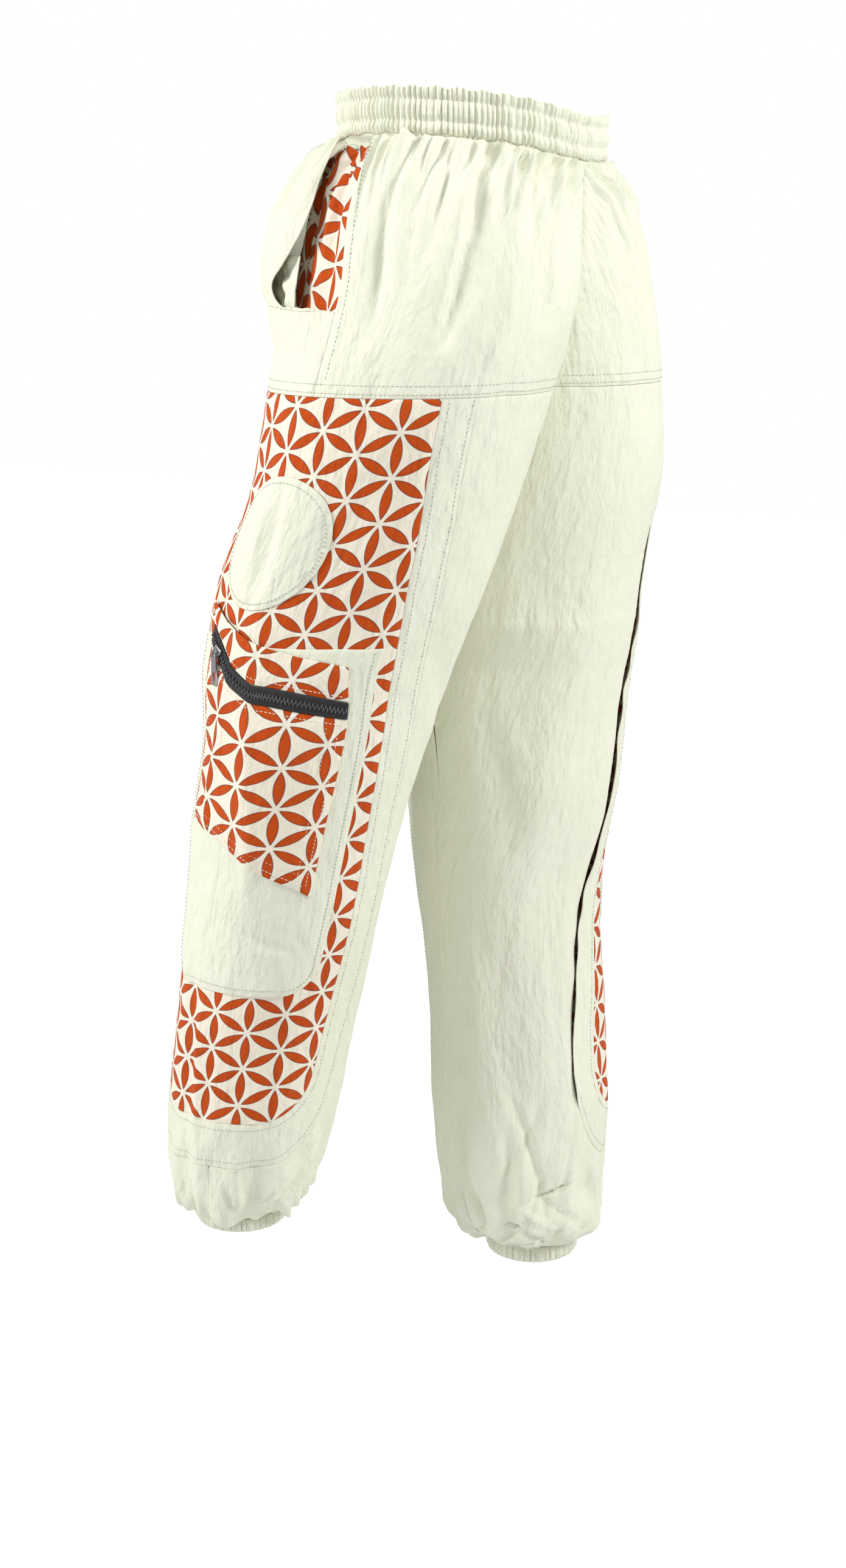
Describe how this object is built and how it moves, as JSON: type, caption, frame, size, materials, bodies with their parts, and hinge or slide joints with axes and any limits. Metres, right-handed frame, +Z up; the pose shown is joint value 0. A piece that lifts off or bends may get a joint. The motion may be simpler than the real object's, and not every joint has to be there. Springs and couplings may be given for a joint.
{
  "type": "harem pants",
  "caption": "Loose walking-pose cotton trousers with shirred waist, printed side panels in plain bands, zipped cargo pockets and gathered cuffs.",
  "frame": {"origin": "middle of the worn waistband, on the centre line between the two halves, where the wearer holds it up", "axes": "+Z up, -Y the way the wearer faces, +X the wearer's left"},
  "size_m": [0.3886, 0.3399, 0.9437],
  "materials": {
    "sage_cotton": "plain weave cotton, matt",
    "printed_cotton": "plain weave cotton printed with a six-petal lattice, matt",
    "zip_black": "black coil zip on woven tape",
    "pull_metal": "worn grey metal"
  },
  "bodies": {
    "garment": {"waistband": "sage_cotton", "back_yoke_left": "sage_cotton", "back_yoke_right": "sage_cotton", "front_yoke_left": "sage_cotton", "front_yoke_right": "sage_cotton", "hip_pocket_left": "printed_cotton", "hip_pocket_right": "printed_cotton", "back_leg_left": "sage_cotton", "back_leg_right": "sage_cotton", "front_leg_left": "sage_cotton", "front_leg_right": "sage_cotton", "side_print_left": "printed_cotton", "side_print_right": "printed_cotton", "side_band_left": "sage_cotton", "side_band_right": "sage_cotton", "circle_patch_left": "sage_cotton", "circle_patch_right": "sage_cotton", "pocket_backing_left": "sage_cotton", "pocket_backing_right": "sage_cotton", "cargo_pocket_left": "printed_cotton", "cargo_pocket_right": "printed_cotton", "pocket_top_left": "printed_cotton", "pocket_top_right": "printed_cotton", "zip_left": "zip_black", "zip_right": "zip_black", "cuff_left": "sage_cotton", "cuff_right": "sage_cotton"},
    "tab_left": {"zip_tab_left": "pull_metal"},
    "tab_right": {"zip_tab_right": "pull_metal"}
  },
  "joints": [
    {"name": "tab_left_hinge", "type": "hinge", "parent": "garment", "child": "tab_left", "pos_m": [0.18021, -0.11527, -0.36695], "axis": [-0.3885, -0.9215, 0], "range_deg": [0, 150]},
    {"name": "tab_right_hinge", "type": "hinge", "parent": "garment", "child": "tab_right", "pos_m": [-0.18077, -0.05078, -0.36806], "axis": [-0.3725, 0.928, 0], "range_deg": [0, 150]}
  ]
}
